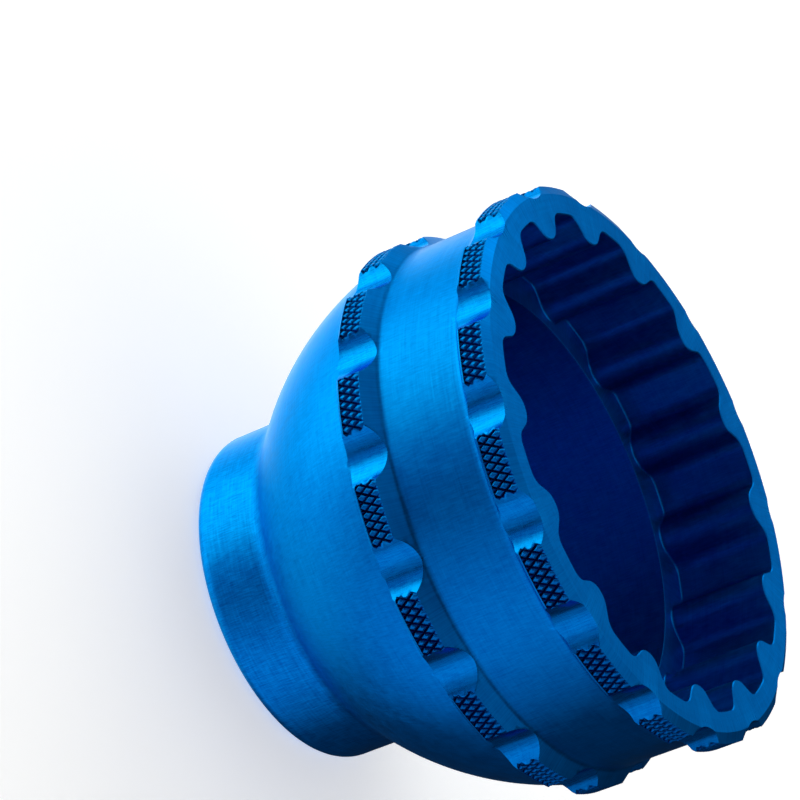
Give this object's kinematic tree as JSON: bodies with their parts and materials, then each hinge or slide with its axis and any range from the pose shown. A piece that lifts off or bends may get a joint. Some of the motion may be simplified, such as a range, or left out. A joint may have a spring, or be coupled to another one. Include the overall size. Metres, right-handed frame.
{
  "type": "bottom bracket tool",
  "caption": "Cup-shaped bottom bracket socket with internal teeth in its mouth, two knurled and fluted grip rings and a square drive in its small end.",
  "frame": {"origin": "centre of the drive-end face, on the tool's axis", "axes": "+Z along the tool's axis from the drive end to the toothed mouth, +X through the middle of a tooth and its grip flute, +Y to complete a right-handed frame"},
  "size_m": [0.0586, 0.0586, 0.0428],
  "materials": {
    "anodised_aluminium": "satin blue anodised"
  },
  "bodies": {
    "root": {"socket_body": "anodised_aluminium"}
  },
  "joints": []
}
